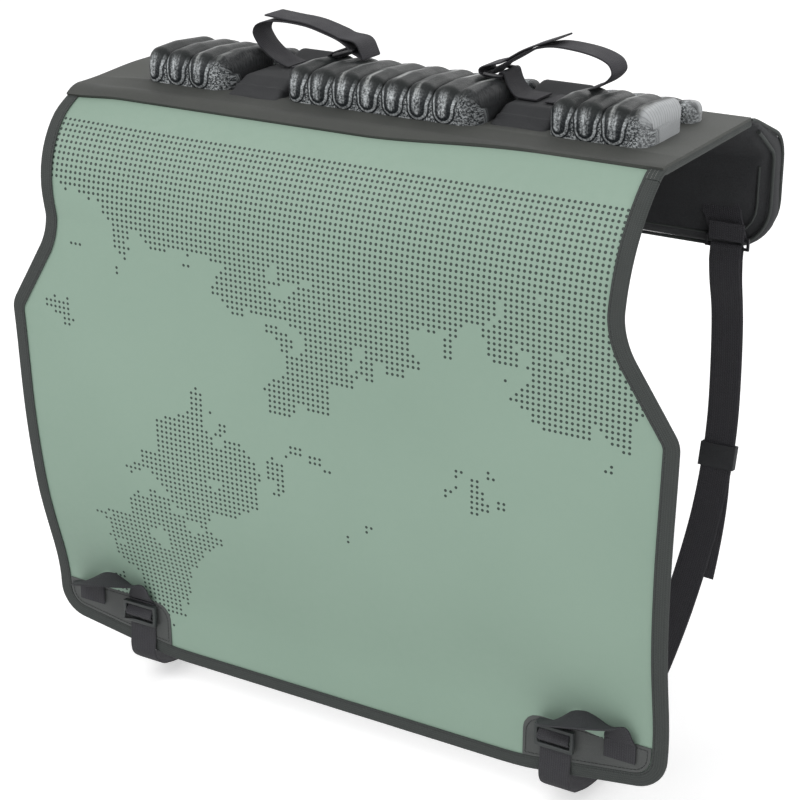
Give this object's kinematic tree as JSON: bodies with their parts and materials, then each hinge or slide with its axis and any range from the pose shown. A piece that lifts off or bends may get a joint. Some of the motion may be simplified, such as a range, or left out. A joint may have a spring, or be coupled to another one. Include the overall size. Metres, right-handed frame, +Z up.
{
  "type": "tailgate bike pad",
  "caption": "Padded cover hung over a pick-up tailgate, with ridged foam blocks and looped straps that hold bicycle down tubes, and buckled straps underneath.",
  "frame": {"origin": "middle of the flat underside of the top, where it rests on the tailgate's upper edge", "axes": "+X to the right when facing the printed front panel, +Y into the truck bed, +Z up"},
  "size_m": [0.6686, 0.3213, 0.647],
  "materials": {
    "green_tarpaulin": "matt coated sheet with printed dots",
    "black_fabric": "matt coated fabric",
    "lining_fabric": "matt soft fabric",
    "binding_tape": "matt woven tape",
    "padding_foam": "soft foam",
    "block_foam": "moulded foam with a glossy patterned skin",
    "webbing": "matt woven webbing",
    "moulded_plastic": "moulded plastic",
    "patch_fabric": "matt coated fabric"
  },
  "bodies": {
    "root": {"buckle_left": "moulded_plastic", "buckle_right": "moulded_plastic", "corner_patch_left": "patch_fabric", "corner_patch_right": "patch_fabric", "cradle_pad_left": "black_fabric", "cradle_pad_right": "black_fabric", "flap_cover": "black_fabric", "flap_edge": "black_fabric", "flap_lining": "lining_fabric", "flap_padding": "padding_foam", "flap_piping": "binding_tape", "frame_strap_left": "webbing", "frame_strap_right": "webbing", "front_binding": "binding_tape", "front_block_left": "block_foam", "front_block_middle": "block_foam", "front_block_right": "block_foam", "front_lining": "lining_fabric", "front_panel": "green_tarpaulin", "pull_loop_left": "webbing", "pull_loop_right": "webbing", "rear_block_left": "block_foam", "rear_block_middle": "block_foam", "rear_block_right": "block_foam", "ring_strap_left": "webbing", "ring_strap_right": "webbing", "strap_anchor_left": "webbing", "strap_anchor_right": "webbing", "strap_keeper_left": "black_fabric", "strap_keeper_right": "black_fabric", "strap_link_left": "moulded_plastic", "strap_link_right": "moulded_plastic", "strap_ring_left": "moulded_plastic", "strap_ring_right": "moulded_plastic", "tension_strap_left": "webbing", "tension_strap_right": "webbing", "top_cover": "black_fabric", "top_edge_tape_left": "binding_tape", "top_edge_tape_right": "binding_tape", "top_lining": "lining_fabric", "top_padding": "padding_foam"}
  },
  "joints": []
}
